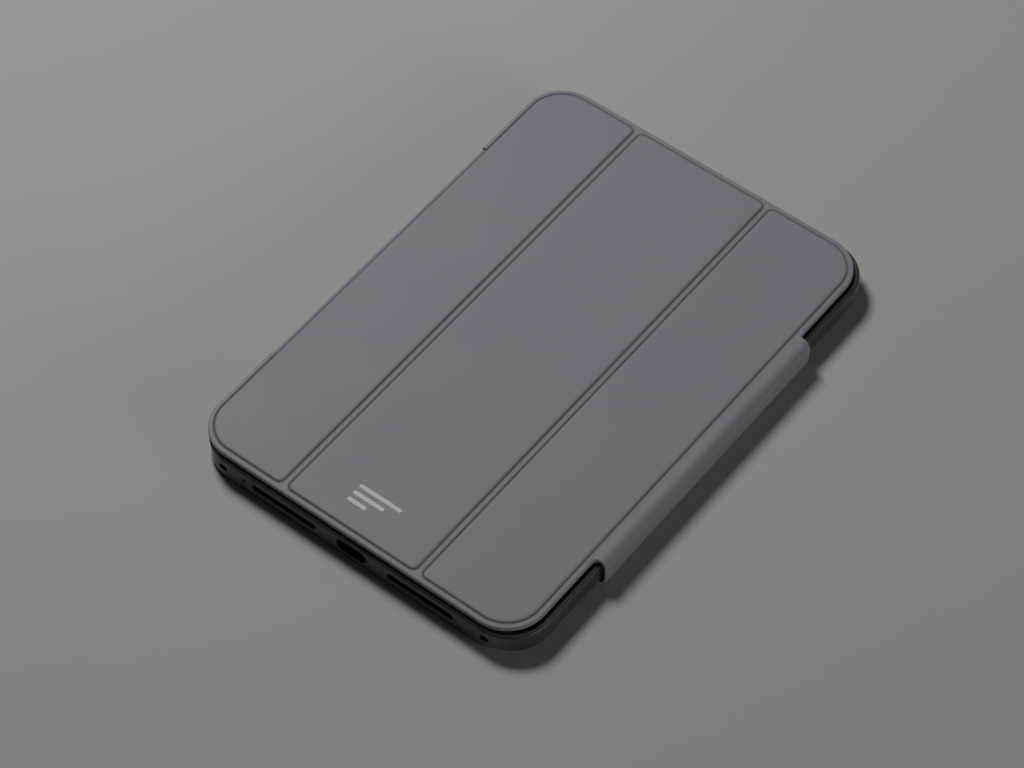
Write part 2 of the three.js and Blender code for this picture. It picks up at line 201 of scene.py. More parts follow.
def makeSoftTouch(look=softTouchLook):
    finish = Finish("softTouchPolyurethane", 0.38, haze=0.12, hazeSpread=0.6)
    patches = finish.ramp(finish.noise(look["patchScale"], 3), 0.35, 0.65)
    base = finish.blendColours(patches, look["coolPatch"], look["warmPatch"])
    base = finish.blendColours(0.5, base, look["colour"])
    # Painted shade: the colour is darkened along the grooves round the panels, standing in for the shadow
    # that falls in them.
    groove = finish.node("ShaderNodeAttribute", {"attribute_name": "groove"}, output="Fac")
    paintedGrooveShade = darker(look["colour"], look["paintedShadeLevel"])
    base = finish.blendColours(groove * look["paintedShadeWeight"], base, paintedGrooveShade)
    grain = finish.noise(look["grain"], 2, 0.6)
    pores = finish.cells(look["grain"] * look["poreShare"])
    rubbed = finish.ramp(finish.noise(look["rubScale"], 4, 0.6), 0.4, 0.7)
    roughness = look["roughness"] + rubbed * look["rubPolish"] + grain * 0.08
    fine = finish.bump(grain, 0.16, look["grainDepth"])
    normal = finish.bump(pores, 0.12, look["poreDepth"], fine)
    return finish.done(base, roughness, normal)


bumperLook = {
    "colour": shade(32, 32, 34),
    "dust": shade(50, 50, 51),
    "dustScale": 90,
    "roughness": 0.46,
    "grain": 1500,
    "grainDepth": 0.00004,
    "flowScale": 260,
    "flowDepth": 0.0001,
    "haze": 0.6,
}


def makeBumper(look=bumperLook):
    finish = Finish("satinElastomer", 0.6, haze=look["haze"], hazeSpread=0.4)
    dust = finish.ramp(finish.noise(look["dustScale"], 5, 0.65), 0.55, 0.8)
    base = finish.blendColours(dust * 0.25, look["colour"], look["dust"])
    grain = finish.noise(look["grain"], 3, 0.6)
    flow = finish.noise(look["flowScale"], 2, 0.5, (3, 0.12, 3))
    roughness = look["roughness"] + (grain - 0.5) * 0.16 + dust * 0.08 + (flow - 0.5) * 0.12
    normal = finish.bump(grain, 0.12, look["grainDepth"], finish.bump(flow, 0.1, look["flowDepth"]))
    return finish.done(base, roughness, normal)


hardBackLook = {
    "colour": shade(33, 34, 36),
    "light": shade(44, 45, 47),
    "roughness": 0.52,
    "texture": 1100,
    "textureDepth": 0.00006,
    "speckleDepth": 0.00003,
    "cloudScale": 24,
}


def makeHardBack(look=hardBackLook):
    finish = Finish("texturedHardPlastic", 0.45)
    cells = finish.cells(look["texture"])
    speckle = finish.noise(look["texture"] * 1.7, 2)
    clouds = finish.ramp(finish.noise(look["cloudScale"], 4), 0.35, 0.7)
    base = finish.blendColours(clouds * 0.35, look["colour"], look["light"])
    base = finish.blendColours(cells * 0.4, base, look["light"])
    roughness = look["roughness"] + (speckle - 0.5) * 0.2
    normal = finish.bump(cells, 0.35, look["textureDepth"], finish.bump(speckle, 0.15, look["speckleDepth"]))
    return finish.done(base, roughness, normal)


microfibreLook = {
    "colour": shade(64, 66, 71),
    "tips": shade(92, 94, 99),
    "fibre": 1900,
    "fibreDepth": 0.00008,
    "napScale": 45,
    "napDepth": 0.0003,
}


def makeMicrofibre(look=microfibreLook):
    finish = Finish("microfibre", 0.15, haze=0.5, hazeSpread=0.45)
    fibre = finish.noise(look["fibre"], 4, 0.7, (1, 0.35, 1))
    nap = finish.noise(look["napScale"], 4, 0.6, (1, 0.6, 1))
    brushedNap = finish.ramp(nap, 0.35, 0.7)
    base = finish.blendColours(fibre * 0.7, look["colour"], look["tips"])
    base = finish.blendColours(brushedNap * 0.35, base, look["tips"])
    normal = finish.bump(fibre, 0.5, look["fibreDepth"], finish.bump(nap, 0.15, look["napDepth"]))
    roughness = 0.88 + fibre * 0.1
    return finish.done(base, roughness, normal)


boardLook = {
    "colour": shade(150, 147, 137),
    "fleck": shade(120, 116, 106),
    "fibreScale": 700,
    "fibreDepth": 0.00006,
    "fleckScale": 1500,
}


def makeBoard(look=boardLook):
    finish = Finish("stiffeningBoard", 0.3)
    fibre = finish.noise(look["fibreScale"], 5, 0.7, (1, 0.2, 1))
    flecks = finish.ramp(finish.noise(look["fleckScale"], 2), 0.58, 0.66)
    base = finish.blendColours(flecks * 0.7, look["colour"], look["fleck"])
    normal = finish.bump(fibre, 0.25, look["fibreDepth"])
    return finish.done(base, 0.76 + fibre * 0.14, normal)


steelLook = {
    "colour": shade(176, 178, 181),
    "roughness": 0.27,
    "turnedLines": 2600,
    "brushedLines": 1400,
    "lineDepth": 0.00002,
}
nickelLook = {**steelLook, "colour": shade(190, 188, 180), "roughness": 0.22}


# Metal with fine lines: round its own middle if turned, else along Y.
def makeSteel(name, look, turned):
    finish = Finish(name, metal=1.0)
    if turned:
        place = finish.place()
        far = finish.node("ShaderNodeVectorMath", {"operation": "LENGTH"}, {0: place}, output="Value")
        spot = finish.node("ShaderNodeCombineXYZ", {}, {"X": far})
        inputs = {"Vector": spot, "Scale": look["turnedLines"], "Detail": 3}
        lines = finish.node("ShaderNodeTexNoise", {}, inputs)
    else:
        lines = finish.noise(look["brushedLines"], 3, 0.6, (1, 0.02, 1))
    smudge = finish.ramp(finish.noise(60, 3), 0.45, 0.75)
    base = finish.blendColours(lines * 0.5, look["colour"], darker(look["colour"], 0.8))
    roughness = look["roughness"] + lines * 0.16 + smudge * 0.1
    normal = finish.bump(lines, 0.14, look["lineDepth"])
    return finish.done(base, roughness, normal)


markLook = {"colour": shade(196, 199, 203), "roughness": 0.5, "grain": 2600, "fadeScale": 300}


def makeMarkInk(look=markLook):
    finish = Finish("printedInk", 0.4)
    grain = finish.noise(look["grain"], 2, 0.6)
    faded = finish.ramp(finish.noise(look["fadeScale"], 3), 0.3, 0.8)
    base = finish.blendColours(faded * 0.25, look["colour"], softTouchLook["colour"])
    roughness = look["roughness"] + grain * 0.1
    return finish.done(base, roughness, finish.bump(grain, 0.15, 0.00003))


softTouch = makeSoftTouch()
bumperFinish = makeBumper()
hardBack = makeHardBack()
microfibre = makeMicrofibre()
boardFinish = makeBoard()
turnedSteel = makeSteel("turnedSteel", steelLook, True)
brushedSteel = makeSteel("brushedSteel", steelLook, False)
nickel = makeSteel("nickelPlate", nickelLook, False)
markInk = makeMarkInk()
print("finishes made")


# Points counter-clockwise round a rectangle, starting at its low corner, with one radius or four.
def roundedOutline(x0, x1, y0, y1, radii, steps=14):
    if not isinstance(radii, (list, tuple)):
        radii = [radii] * 4
    corners = [
        (x0 + radii[0], y0 + radii[0], radii[0], 180),
        (x1 - radii[1], y0 + radii[1], radii[1], 270),
        (x1 - radii[2], y1 - radii[2], radii[2], 0),
        (x0 + radii[3], y1 - radii[3], radii[3], 90),
    ]
    points = []
    for centreX, centreY, radius, start in corners:
        points += arc(centreX, centreY, radius, start, start + 90, steps)
    return points


def arc(centreX, centreY, radius, start, end, steps):
    angles = [radians(start + (end - start) * step / steps) for step in range(steps + 1)]
    return [(centreX + radius * cos(a), centreY + radius * sin(a)) for a in angles]


# Angles of a quarter turn, from its start to its end.
def quarterTurn(steps, first=0):
    return [pi / 2 * step / steps for step in range(first, steps + 1)]


# Each point of a counter-clockwise outline moved inwards by the same distance.
def insetOutline(points, distance):
    moved = []
    for i, (x, y) in enumerate(points):
        before, after = Vector(points[i - 1]), Vector(points[(i + 1) % len(points)])
        first, second = (Vector((x, y)) - before).normalized(), (after - Vector((x, y))).normalized()
        inward = Vector((-first.y - second.y, first.x + second.x))
        inward = inward / max(inward.length, 1e-9)
        square = max(0.3, inward.dot(Vector((-first.y, first.x))))
        moved.append((x + inward.x * distance / square, y + inward.y * distance / square))
    return moved


def addRing(work, points, z):
    return [work.verts.new((x, y, z)) for x, y in points]


# The faces between two rings with the same number of points.
def joinRings(work, first, second):
    for i in range(len(first)):
        j = (i + 1) % len(first)
        work.faces.new((first[i], first[j], second[j], second[i]))


def ringEdges(work, ring):
    pairs = zip(ring, ring[1:] + ring[:1])
    return [work.edges.get(pair) or work.edges.new(pair) for pair in pairs]


# A closed shape through a row of loops: its ends are faces, or join up if the row is closed.
def lofted(loops, closed=False):
    work = bmesh.new()
    rings = [[work.verts.new(point) for point in loop] for loop in loops]
    for first, second in zip(rings, rings[1:]):
        joinRings(work, first, second)
    if closed:
        joinRings(work, rings[-1], rings[0])
    else:
        work.faces.new(list(reversed(rings[0])))
        work.faces.new(rings[-1])
    bmesh.ops.recalc_face_normals(work, faces=work.faces[:])
    return work


# Angles in degrees over which an edge is left sharp.
sharpAngles = {"cloth": 32, "skin": 28, "strip": 40, "sheet": 38, "moulding": 30, "ring": 40}


# Makes the object of a shape given in millimetres.
def asPiece(work, name, finish, sharp=sharpAngles["cloth"]):
    work.normal_update()
    mesh = bpy.data.meshes.new(name)
    bmesh.ops.scale(work, vec=(mm, mm, mm), verts=work.verts[:])
    work.to_mesh(mesh)
    work.free()
    mesh.materials.append(finish)
    piece = bpy.data.objects.new(name, mesh)
    scene.collection.objects.link(piece)
    smoothShading(piece, sharp)
    return piece


# Smooth shading, but for edges sharper than an angle in degrees.
def smoothShading(piece, sharp):
    piece.data.shade_smooth()
    piece.data.set_sharp_from_angle(angle=radians(sharp))


# Leaves a piece with a plain mesh as its modifiers show it.
def bakeModifiers(piece):
    bpy.context.view_layer.update()
    graph = bpy.context.evaluated_depsgraph_get()
    made = bpy.data.meshes.new_from_object(
        piece.evaluated_get(graph), preserve_all_data_layers=True, depsgraph=graph)
    piece.modifiers.clear()
    old, piece.data = piece.data, made
    made.name = piece.name
    if old.users == 0:
        bpy.data.meshes.remove(old)
    return piece


# Cuts the shapes of several closed meshes out of a piece, then evens the shading of its flat faces.
def carve(piece, cutters, sharp=sharpAngles["cloth"]):
    for number, work in enumerate(cutters):
        cutter = asPiece(work, f"cutter{number}", piece.data.materials[0])
        cut = piece.modifiers.new("cut", "BOOLEAN")
        cut.operation, cut.solver, cut.object = "DIFFERENCE", "EXACT", cutter
        bakeModifiers(piece)
        bpy.data.objects.remove(cutter)
    while len(piece.data.materials) > 1:
        piece.data.materials.pop()
    smoothShading(piece, sharp)
    even = piece.modifiers.new("even", "WEIGHTED_NORMAL")
    even.keep_sharp = True
    even.weight = 60
    return bakeModifiers(piece)


def blockShape(x0, x1, y0, y1, z0, z1):
    corners = [(x0, y0), (x1, y0), (x1, y1), (x0, y1)]
    return lofted([[(x, y, z) for x, y in corners] for z in (z0, z1)])


# A piece that moves with one body, in place of the nodes named.
def ride(piece, body, slotName, *nodes):
    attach(piece, body)
    if nodes:
        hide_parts(*nodes)
    return piece


# A piece left where it is made, with its placement baked into its mesh.
def bend(piece, start, end):
    start[0] * mm
    start[1] * mm
    end[0] * mm
    end[1] * mm
    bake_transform(piece)


# The cover skin is one sheet with three raised panels, parted at its folds.
coverShape = {
    "cornerRadius": 15.0,
    "panelCornerRadius": 12.55,
    "foldCornerRadius": 2.0,
    "plateauRise": 0.4,
    "boardMargin": 1.0,
    "boardGap": 0.2,
    "liningInset": 0.8,
    "rimRound": 0.72,
    "rimShare": 0.62,  # a thin sheet's rounds are at most these shares of its thickness
    "underRound": 0.18,
    "underShare": 0.25,
    "rimLand": 0.06,
    "boardHeadroom": 0.05,
    "tabFillet": 1.5,
    "tabReach": 1.7,
    "wrapOverlap": 0.25,
    "notchGap": 0.12,
    "cornerSteps": 18,
    "filletSteps": 8,
    "foldHalfStrip": 1.1,
    "foldSteps": 8,
    # Where the painted shade in the grooves lies, how wide it spreads, and how far down the sides it reaches.
    "grooveShadeOffset": 0.3,
    "grooveShadeSpread": 0.42,
    "grooveShadeReach": 0.3,
    "flapNotchOffset": 0.35,
}
# Distance out from a panel's edge, and height above the flange round it.
grooveProfile = [
    (0.84, 0.0), (0.76, 0.0), (0.64, -0.03), (0.52, -0.1), (0.42, -0.155), (0.35, -0.17), (0.27, -0.145),
    (0.16, -0.06), (0.02, 0.06), (-0.14, 0.175), (-0.34, 0.275), (-0.58, 0.345), (-0.86, 0.385), (-1.15, 0.4),
]
strip = coverShape["foldHalfStrip"]
plateauTop = skin2[1].z
flangeTop = plateauTop - coverShape["plateauRise"]
skinBottom = skin2[0].z
coverLeft, coverHalfLength = skin1[0].x, skin2[1].y
coverRight = liningHigh.x + coverShape["liningInset"]
leftFold = (skin1[1].x + skin2[0].x) / 2
rightFold = (skin2[1].x + skin3[0].x) / 2
rollX, spineOuter, spineHalf = skin3[1].x, spineBox[1].x, spineBox[1].y
margin = coverShape["boardMargin"]
plateaus = [(low.x - margin, high.x + margin, low.y - margin, high.y + margin) for low, high in boards]
outerRadius, foldRadius = coverShape["panelCornerRadius"], coverShape["foldCornerRadius"]
plateauRadii = [
    [outerRadius, foldRadius, foldRadius, outerRadius],
    [foldRadius] * 4,
    [foldRadius, outerRadius, outerRadius, foldRadius],
]
wrapStart = rollX - coverShape["wrapOverlap"]
flapNotch = plateaus[0][0] - coverShape["flapNotchOffset"]


# Inset from the edge and height above the sheet's underside, from the underside round to the top.
def rimProfile(thickness):
    over = min(coverShape["rimRound"], thickness * coverShape["rimShare"])
    under = min(coverShape["underRound"], thickness * coverShape["underShare"])
    points = [(under * (1 - sin(a)), under * (1 - cos(a))) for a in (0, 0.5, 1.05, pi / 2)]
    points += [(over * (1 - cos(a)), thickness - over * (1 - sin(a))) for a in quarterTurn(7)]
    return points


# Round the cover, and out along the tab that runs into the spine.
def coverOutline():
    radius, fillet = coverShape["cornerRadius"], coverShape["tabFillet"]
    near, far = -coverHalfLength, coverHalfLength
    tabEnd = rollX + coverShape["tabReach"]
    corner, inner = coverShape["cornerSteps"], coverShape["filletSteps"]
    points = arc(coverLeft + radius, near + radius, radius, 180, 270, corner)
    points += arc(coverRight - radius, near + radius, radius, 270, 360, corner)
    points += arc(coverRight + fillet, -spineHalf - fillet, fillet, 180, 90, inner)
    points += [(tabEnd, -spineHalf), (tabEnd, spineHalf)]
    points += arc(coverRight + fillet, spineHalf + fillet, fillet, 270, 180, inner)
    points += arc(coverRight - radius, far - radius, radius, 0, 90, corner)
    points += arc(coverLeft + radius, far - radius, radius, 90, 180, corner)
    return points


# The whole skin: rounded rim, three raised panels with grooves round them, and a pocket under each.
def wholeSkin():
    work = bmesh.new()
    edge = coverOutline()
    profile = rimProfile(flangeTop - skinBottom)
    profile.append((profile[-1][0] + coverShape["rimLand"], profile[-1][1]))
    rim = [addRing(work, insetOutline(edge, inset), skinBottom + z) for inset, z in profile]
    for first, second in zip(rim, rim[1:]):
        joinRings(work, first, second)
    topEdges, underEdges = ringEdges(work, rim[-1]), ringEdges(work, rim[0])
    pocketTop = boards[1][1].z + coverShape["boardHeadroom"]
    gap = coverShape["boardGap"]
    for (x0, x1, y0, y1), radii, (low, high) in zip(plateaus, plateauRadii, boards):
        rings = []
        for out, rise in grooveProfile:
            grown = [radius + out for radius in radii]
            outline = roundedOutline(x0 - out, x1 + out, y0 - out, y1 + out, grown)
            rings.append(addRing(work, outline, flangeTop + rise))
        for first, second in zip(rings, rings[1:]):
            joinRings(work, first, second)
        work.faces.new(rings[-1])
        topEdges += ringEdges(work, rings[0])
        shrunk = [radius - margin + gap for radius in radii]
        pocket = roundedOutline(low.x - gap, high.x + gap, low.y - gap, high.y + gap, shrunk, 8)
        mouth, ceiling = addRing(work, pocket, skinBottom), addRing(work, pocket, pocketTop)
        joinRings(work, mouth, ceiling)
        work.faces.new(ceiling)
        underEdges += ringEdges(work, mouth)
    bmesh.ops.triangle_fill(work, use_beauty=True, edges=topEdges, normal=(0, 0, 1))
    bmesh.ops.triangle_fill(work, use_beauty=True, edges=underEdges, normal=(0, 0, -1))
    bmesh.ops.recalc_face_normals(work, faces=work.faces[:])
    return work


# The part of a closed shape between two planes across X, closed again at the cuts.
def between(source, low, high, steps=0):
    work = source.copy()
    for x, isHigh in ((low, False), (high, True)):
        if x is None:
            continue
        everything = work.verts[:] + work.edges[:] + work.faces[:]
        bmesh.ops.bisect_plane(
            work, geom=everything, dist=1e-5, plane_co=(x, 0, 0), plane_no=(1, 0, 0),
            clear_outer=isHigh, clear_inner=not isHigh)
        bmesh.ops.holes_fill(work, edges=[e for e in work.edges if e.is_boundary], sides=0)
    for step in range(1, steps):
        everything = work.verts[:] + work.edges[:] + work.faces[:]
        x = low + (high - low) * step / steps
        bmesh.ops.bisect_plane(work, geom=everything, dist=1e-5, plane_co=(x, 0, 0), plane_no=(1, 0, 0))
    bmesh.ops.recalc_face_normals(work, faces=work.faces[:])
    return work


# How deep in the pressed groove each point lies, from 0 to 1, kept on the mesh so that its finish paints
# shade into the groove.
def markGrooveShade(piece):
    co = np.array([v.co for v in piece.data.vertices]) / mm
    depth = np.zeros(len(co))
    for (x0, x1, y0, y1), radii in zip(plateaus, plateauRadii):
        centre = np.array(((x0 + x1) / 2, (y0 + y1) / 2))
        off = co[:, :2] - centre
        left, far = off[:, 0] < 0, off[:, 1] > 0
        radius = np.where(left, np.where(far, radii[3], radii[0]), np.where(far, radii[2], radii[1]))
        q = np.abs(off) - np.array(((x1 - x0) / 2, (y1 - y0) / 2)) + radius[:, None]
        away = np.linalg.norm(np.maximum(q, 0), axis=1) + np.minimum(q.max(axis=1), 0) - radius
        spread = (away - coverShape["grooveShadeOffset"]) / coverShape["grooveShadeSpread"]
        depth = np.maximum(depth, np.exp(-spread ** 2))
    depth[co[:, 2] < flangeTop - coverShape["grooveShadeReach"]] = 0
    layer = piece.data.attributes.new("groove", "FLOAT", "POINT")
    layer.data.foreach_set("value", depth.astype(np.float32))


# What the flap's roll takes out of the first panel's edge.
def flapRoom(low, high):
    half = spineHalf + coverShape["notchGap"]
    return blockShape(coverLeft - beyond, flapNotch, -half, half, low - 1, high + 1)


skin = wholeSkin()
skinPieces = [
    ("panel_1_cover", between(skin, None, leftFold - strip), "panel_1", "panel_1_skin"),
    ("panel_2_cover", between(skin, leftFold + strip, rightFold - strip), "panel_2", "panel_2_skin"),
    ("panel_3_cover", between(skin, rightFold + strip, wrapStart), "panel_3", "panel_3_skin"),
]
for name, work, body, node in skinPieces:
    piece = asPiece(work, name, softTouch, sharpAngles["skin"])
    carve(piece, [flapRoom(skinBottom, plateauTop)] if body == "panel_1" else [], sharpAngles["skin"])
    markGrooveShade(piece)
    ride(piece, body, "soft_touch", node)
foldPieces = [
    ("fold_strip_left", leftFold, "panel_2", "panel_1"),
    ("fold_strip_right", rightFold, "panel_3", "panel_2"),
]
for name, fold, rightBody, leftBody in foldPieces:
    work = between(skin, fold - strip, fold + strip, coverShape["foldSteps"])
    piece = asPiece(work, name, softTouch, sharpAngles["skin"])
    markGrooveShade(piece)
    bend(piece, (fold + strip, flangeTop), (fold - strip, flangeTop))
skin.free()
print("cover skin made")

# The lining lies under the panels, and is thinned along the folds.
liningShape = {"edgeRound": 0.16, "foldRelief": 0.22}
coverBottom, liningTop = liningLow.z, liningHigh.z


def wholeLining():
    inset = coverShape["liningInset"]
    outline = roundedOutline(
        coverLeft + inset, coverRight - inset, -coverHalfLength + inset, coverHalfLength - inset,
        coverShape["cornerRadius"] - inset, 16)
    edge = liningShape["edgeRound"]
    loops = [
        (edge, coverBottom), (edge * 0.3, coverBottom + edge * 0.3), (0, coverBottom + edge), (0, liningTop)]
    return lofted([[(x, y, z) for x, y in insetOutline(outline, amount)] for amount, z in loops])


lining = wholeLining()
stretches = [(None, leftFold - strip), (leftFold + strip, rightFold - strip), (rightFold + strip, None)]
for number, (low, high) in enumerate(stretches, 1):
    piece = asPiece(between(lining, low, high), f"panel_{number}_lining_cloth", microfibre)
    carve(piece, [flapRoom(coverBottom, liningTop)] if number == 1 else [])
    ride(piece, f"panel_{number}", "microfibre", f"panel_{number}_lining")
lining.free()


# A strip of lining across a fold, with a shallow trough pressed into its underside.
def liningStrip(fold):
    half = coverHalfLength - coverShape["liningInset"]
    edge = liningShape["edgeRound"]
    loops = []
    for step in range(coverShape["foldSteps"] + 1):
        share = step / coverShape["foldSteps"]
        x = fold - strip + 2 * strip * share
        low = coverBottom + liningShape["foldRelief"] * sin(pi * share) ** 2
        loops.append([
            (x, -half + edge, low), (x, half - edge, low), (x, half - edge * 0.3, low + edge * 0.3),
            (x, half, low + edge), (x, half, liningTop), (x, -half, liningTop),
            (x, -half, low + edge), (x, -half + edge * 0.3, low + edge * 0.3)])
    return lofted(loops)


for name, fold, rightBody, leftBody in foldPieces:
    piece = asPiece(liningStrip(fold), name.replace("strip", "lining"), microfibre, sharpAngles["strip"])
    bend(piece, (fold + strip, flangeTop), (fold - strip, flangeTop))
print("lining made")

# The wrap: the skin rolls off the cover, down the spine and in under the back.
wrapShape = {
    "topThickness": flangeTop - skinBottom,
    "rollThickness": 1.1,
    "spineThickness": 0.62,
    "bottomThickness": 1.1,
    "anchorThickness": 0.5,
    "bottomRadius": 2.3,
    "rollSteps": 16,
    "rolledBy": 0.5,  # shares of a turn at which its thickness changes
    "thinnedFrom": 0.7,
    "bottomThinnedFrom": 0.4,
    "topSplit": 8.25,
    "bottomSplit": 2.75,
    "footStep": (0.5, 0.55),  # above the split, where the sheet thins to clear the board
    "topLead": 0.1,
    "spineLead": 0.12,
    "bottomLead": 0.08,
    "anchorSplit": 0.6,
    "endRound": 0.1,
    "endTurn": (-0.3, -0.95),
    "topBendFrom": 0.25,  # shares of the turn's radius
    "topBendTo": 0.1,
    "bottomBendFrom": 0.1,
    "bottomBendTo": 0.2,
}
topRadius = spineOuter - rollX
rollZ = flangeTop - topRadius
underZ = anchorBox[0].z
bottomRadius = wrapShape["bottomRadius"]
bottomX, bottomZ = spineOuter - bottomRadius, underZ + bottomRadius


# How far a share has come between two others, from 0 to 1.
def ramped(share, start, end):
    return min(1, max(0, (share - start) / (end - start)))


# A station is a point on the outside of a sheet, the direction out of it, and its thickness there.
def turnStation(centreX, centreZ, radius, degrees, thickness):
    outX, outZ = cos(radians(degrees)), sin(radians(degrees))
    return centreX + radius * outX, centreZ + radius * outZ, outX, outZ, thickness


def spineStation(z, thickness):
    return spineOuter, z, 1, 0, thickness


def anchorStation(x):
    return x, underZ, 0, -1, wrapShape["anchorThickness"]


def wrapStations():
    shape, steps = wrapShape, wrapShape["rollSteps"]
    atTop, atRoll, atSpine = shape["topThickness"], shape["rollThickness"], shape["spineThickness"]
    atBottom, atAnchor = shape["bottomThickness"], shape["anchorThickness"]
    topSplit, bottomSplit = shape["topSplit"], shape["bottomSplit"]
    top = [(x, flangeTop, 0, 1, atTop) for x in (wrapStart, rollX - shape["topLead"])]
    for step in range(1, steps + 1):
        share = step / steps
        thickness = atTop + (atRoll - atTop) * ramped(share, 0, shape["rolledBy"])
        thickness += (atSpine - atRoll) * ramped(share, shape["thinnedFrom"], 1)
        top.append(turnStation(rollX, rollZ, topRadius, 90 - 90 * share, thickness))
    top += [spineStation(rollZ - shape["spineLead"], atSpine), spineStation(topSplit, atSpine)]
    stepLow, stepHigh = shape["footStep"]
    middle = [spineStation(topSplit, atSpine), spineStation(bottomSplit + stepHigh, atSpine)]
    middle += [spineStation(bottomSplit + stepLow, atBottom), spineStation(bottomSplit, atBottom)]
    bottom = [spineStation(bottomSplit, atBottom), spineStation(bottomZ + shape["bottomLead"], atBottom)]
    for step in range(steps + 1):
        share = step / steps
        thickness = atBottom + (atAnchor - atBottom) * ramped(share, shape["bottomThinnedFrom"], 1)
        bottom.append(turnStation(bottomX, bottomZ, bottomRadius, -90 * share, thickness))
    anchorStart, anchorEnd, end = bottomX - shape["anchorSplit"], anchorBox[0].x, shape["endRound"]
    bottom += [anchorStation(bottomX - shape["topLead"]), anchorStation(anchorStart)]
    anchor = [anchorStation(anchorStart), anchorStation(anchorEnd + end)]
    anchor.append((anchorEnd, underZ + end, *shape["endTurn"], atAnchor - end))
    return {"cover_roll": top, "spine_wrap": middle, "spine_roll": bottom, "anchor_wrap": anchor}


# One loop round the sheet at a station: along the underside, round the far edge, back over the outside.
def sheetLoop(station, half):
    x, z, outX, outZ, thickness = station
    side = rimProfile(thickness)
    near = [(-half + inset, height) for inset, height in reversed(side)]
    far = [(half - inset, height) for inset, height in side]
    return [(x + outX * (height - thickness), y, z + outZ * (height - thickness)) for y, height in near + far]


def sheetPiece(name, stations):
    work = lofted([sheetLoop(station, spineHalf) for station in stations])
    return asPiece(work, name, softTouch, sharpAngles["sheet"])


wrapPieces = {name: sheetPiece(name, stations) for name, stations in wrapStations().items()}
# The turns, between where the sheet leaves one body and where it lies on the next, stay where they are made.
bend(
    wrapPieces["cover_roll"],
    (rollX + topRadius * wrapShape["topBendFrom"], flangeTop),
    (spineOuter, rollZ + topRadius * wrapShape["topBendTo"]))
ride(wrapPieces["spine_wrap"], "spine", "soft_touch", "spine_skin")
bend(
    wrapPieces["spine_roll"],
    (spineOuter, bottomZ - wrapShape["bottomBendFrom"]), (bottomX + wrapShape["bottomBendTo"], underZ))
ride(wrapPieces["anchor_wrap"], "case", "soft_touch", "spine_anchor_skin")
print("spine wrap made")

# The closure flap: the same skin rolls over the free side.
flapShape = {
    "radius": 2.2,
    "steps": 14,
    "rollThickness": 0.95,
    "rootExtra": 0.3,  # the sheet is thicker where it leaves the panel
    "rootSteps": 6,
    "rootGap": 0.22,
    "rootDrop": 0.17,
    "lead": 0.1,
    "split": 8.9,
    "plateThickness": 0.4,
    "plateStep": 0.12,
    "bandHeight": 0.5,
    "bandStep": 0.04,
    "bandEdge": 0.35,
    "bendFrom": 0.8,
    "bendTo": 0.3,
}
# Round the lower edge: offset from the wall, height, direction out, and how much thinner the sheet is.
flapEdge = [(0.1, 0.1, -0.92, -0.38, 0.15), (0.35, 0, -0.7, -0.2, 0.5)]
flapOuter, flapBottom = flapBox[0].x, flapBox[0].z
flapTurnX, flapTurnZ = flapOuter + flapShape["radius"], flangeTop - flapShape["radius"]
flapInner = boxOf("flap_lining")[1].x
flapBandDepth = flapInner - flapOuter


def flapStation(z, thickness):
    return flapOuter, z, -1, 0, thickness


def flapStations():
    shape, radius, steps = flapShape, flapShape["radius"], flapShape["steps"]
    atRoll, atPlate, extra = shape["rollThickness"], shape["plateThickness"], shape["rootExtra"]
    first = math.degrees(math.acos((flapNotch - shape["rootGap"] - flapTurnX) / radius))
    roll = [(flapNotch, flangeTop - shape["rootDrop"], 0, 1, atRoll + extra)]
    for step in range(steps + 1):
        degrees = first + (180 - first) * step / steps
        thickness = atRoll + extra * max(0, 1 - step / shape["rootSteps"])
        roll.append(turnStation(flapTurnX, flapTurnZ, radius, degrees, thickness))
    roll += [flapStation(flapTurnZ - shape["lead"], atRoll), flapStation(shape["split"], atRoll)]
    bandTop = flapBottom + shape["bandHeight"]
    plate = [flapStation(shape["split"], atRoll), flapStation(shape["split"] - shape["plateStep"], atPlate)]
    plate += [flapStation(bandTop + shape["bandStep"], atPlate), flapStation(bandTop, flapBandDepth)]
    plate.append(flapStation(flapBottom + shape["bandEdge"], flapBandDepth))
    for offset, rise, outX, outZ, thinner in flapEdge:
        plate.append((flapOuter + offset, flapBottom + rise, outX, outZ, flapBandDepth - thinner))
    return roll, plate


rollStations, plateStations = flapStations()
bend(
    sheetPiece("flap_roll", rollStations),
    (flapTurnX - flapShape["bendFrom"], flangeTop), (flapOuter, flapTurnZ + flapShape["bendTo"]))
ride(sheetPiece("flap_cover", plateStations), "closure_flap", "soft_touch", "flap_skin")
print("closure flap made")

# The bumper is one moulding round the tablet, with its openings.
bumperShape = {
    "cornerRadius": 15.5,
    "cornerSteps": 26,
    "footRound": 2.2,
    "footSteps": 10,
    "rimRound": 0.95,
    "rimSteps": 9,
    "roundLead": 0.1,
    "pocketInset": (1.3, 2.55),
    "pocketRadius": 12.6,
    "lipOverhang": 0.8,
    "lipHeight": 0.85,
    "lipEdge": [(0.2, 0), (0.06, 0.06), (0, 0.2)],  # out from the lip, and down from the top
    "lipUnderEdge": 0.12,
    "seatInset": 2.9,
    "seatHeight": 1.65,
    "slotFlare": 0.38,
    "slotFlareShare": 0.2,  # of a low opening's height
    "slotDepth": 4.5,
    "slotReach": 3,
    "slotLap": 0.02,
    "buttonGap": 0.3,
    "buttonFlare": 0.3,
    "flapGap": 0.2,
    "recessGap": 0.5,
    "anchorGap": 0.1,
    "plateGap": 0.05,
}
tabletMiddle = 5.2
# Middle from the tub's centre line, width and height of each opening.
nearOpenings = [
    (0, 12.6, 5.4), (-28.5, 27, 2.6), (28.5, 27, 2.6), (-54.5, 3.6, 2.2), (54.5, 3.6, 2.2), (-45.6, 1.4, 1.4)]
farOpenings = [(-17, 12, 2.6), (17, 12, 2.6)]
buttonOpenings = {
    "power_button": (50, 13, 3.2),
    "volume_up_button": (-50, 10, 3.2),
    "volume_down_button": (-38.5, 10, 3.2),
}


